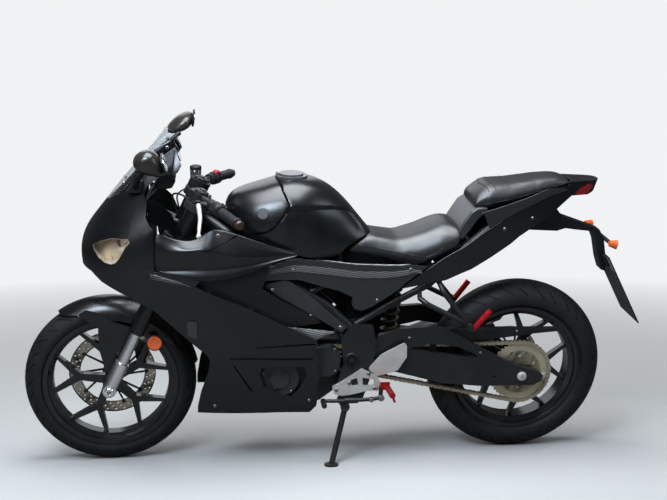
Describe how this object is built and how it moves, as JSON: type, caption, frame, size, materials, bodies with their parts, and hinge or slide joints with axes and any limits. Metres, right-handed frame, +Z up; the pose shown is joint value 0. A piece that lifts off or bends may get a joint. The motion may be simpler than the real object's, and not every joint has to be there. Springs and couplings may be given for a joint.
{
  "type": "sport motorcycle",
  "caption": "Faired sport motorcycle leaning on its side stand, with turning wheels, steering, folding stand and hinged fuel lid.",
  "frame": {"origin": "on the ground under the middle of the whole bike's bounding box", "axes": "+X forward along the bike, +Y to the rider's left, +Z up; the bike leans 10.8 degrees to +Y"},
  "size_m": [2.121, 0.7856, 1.2095],
  "materials": {
    "body_black": "satin black paint on moulded panels",
    "tank_black": "satin black paint on pressed steel",
    "frame_black": "black powder coat",
    "engine_black": "cast alloy with matt dark coating",
    "exhaust_steel": "stainless pipe, slightly browned",
    "silencer_black": "black heat-proof coating",
    "radiator_alloy": "finned core, black",
    "spring_steel": "painted spring and damper",
    "trim_black": "grained black moulding",
    "carbon_weave": "woven carbon pattern under clear coat",
    "cast_alloy": "bead-blasted cast alloy",
    "red_anodised": "red anodised alloy",
    "caliper_dark": "dark anodised caliper",
    "mirror_grey": "pale grey glossy shell",
    "lamp_amber": "amber lens",
    "lamp_smoked": "dark smoked lens",
    "lamp_red": "red lamp lens",
    "plate_blank": "blank plate",
    "screen_clear": "clear tinted polycarbonate",
    "lamp_clear": "clear lamp lens",
    "seat_vinyl": "smooth black seat cover",
    "tyre_rubber": "black road tyre",
    "rim_black": "gloss black cast wheel",
    "disc_steel": "drilled stainless disc",
    "chain_steel": "oiled chain steel",
    "fork_black": "black fork tube",
    "fork_silver": "silver lower leg",
    "grip_rubber": "ribbed rubber"
  },
  "bodies": {
    "chassis": {"cap_ring": "cast_alloy", "chain": "chain_steel", "chain_guard": "trim_black", "engine": "engine_black", "engine_covers": "engine_black", "exhaust_pipe": "exhaust_steel", "fairing_stay": "frame_black", "foot_controls": "red_anodised", "frame": "frame_black", "frame_covers": "trim_black", "front_indicators": "lamp_smoked", "front_sprocket": "chain_steel", "fuel_tank": "tank_black", "headlamps": "lamp_clear", "inner_cowls": "trim_black", "instrument_panel": "trim_black", "lower_side_cowls": "body_black", "mirrors": "mirror_grey", "nose_cowl": "body_black", "number_plate": "plate_blank", "pillion_pegs": "frame_black", "pillion_seat": "seat_vinyl", "plate_holder": "trim_black", "radiator": "radiator_alloy", "rear_caliper": "caliper_dark", "rear_indicators": "lamp_amber", "rearsets": "cast_alloy", "rider_seat": "seat_vinyl", "shock_absorber": "spring_steel", "side_beams": "carbon_weave", "silencer": "silencer_black", "subframe": "frame_black", "swingarm": "frame_black", "tail_cowl": "body_black", "tail_lamp": "lamp_red", "tail_panels": "carbon_weave", "tail_tip": "body_black", "tank_cover": "body_black", "upper_side_cowls": "body_black", "windscreen": "screen_clear"},
    "steering": {"triple_clamps": "cast_alloy", "fork_tubes": "fork_black", "fork_sliders": "fork_silver", "front_fender": "body_black", "handlebars": "frame_black", "grips": "grip_rubber", "bar_controls": "cast_alloy", "front_caliper": "caliper_dark", "brake_hose": "grip_rubber", "reflectors": "lamp_amber"},
    "front_wheel": {"front_tyre": "tyre_rubber", "front_rim": "rim_black", "front_disc": "disc_steel"},
    "rear_wheel": {"rear_tyre": "tyre_rubber", "rear_rim": "rim_black", "rear_disc": "disc_steel", "rear_sprocket": "chain_steel"},
    "side_stand": {"side_stand": "frame_black"},
    "fuel_cap": {"fuel_cap": "cast_alloy"}
  },
  "joints": [
    {"name": "steering", "type": "hinge", "parent": "chassis", "child": "steering", "pos_m": [0.49245, -0.04232, 0.78702], "axis": [-0.4226, 0.1701, 0.8902], "range_deg": [-30, 30]},
    {"name": "front_wheel", "type": "hinge", "parent": "steering", "child": "front_wheel", "pos_m": [0.7705, -0.13806, 0.28609], "axis": [0, 0.9822, -0.1877], "continuous": true},
    {"name": "rear_wheel", "type": "hinge", "parent": "chassis", "child": "rear_wheel", "pos_m": [-0.6395, -0.13412, 0.30672], "axis": [0, 0.9822, -0.1877], "continuous": true},
    {"name": "side_stand", "type": "hinge", "parent": "chassis", "child": "side_stand", "pos_m": [-0.0245, -0.02875, 0.1868], "axis": [0.1034, 0.9409, 0.3224], "range_deg": [0, 100]},
    {"name": "fuel_cap", "type": "hinge", "parent": "chassis", "child": "fuel_cap", "pos_m": [0.2045, -0.00337, 0.99083], "axis": [0, 0.9822, -0.1877], "range_deg": [0, 95]}
  ]
}
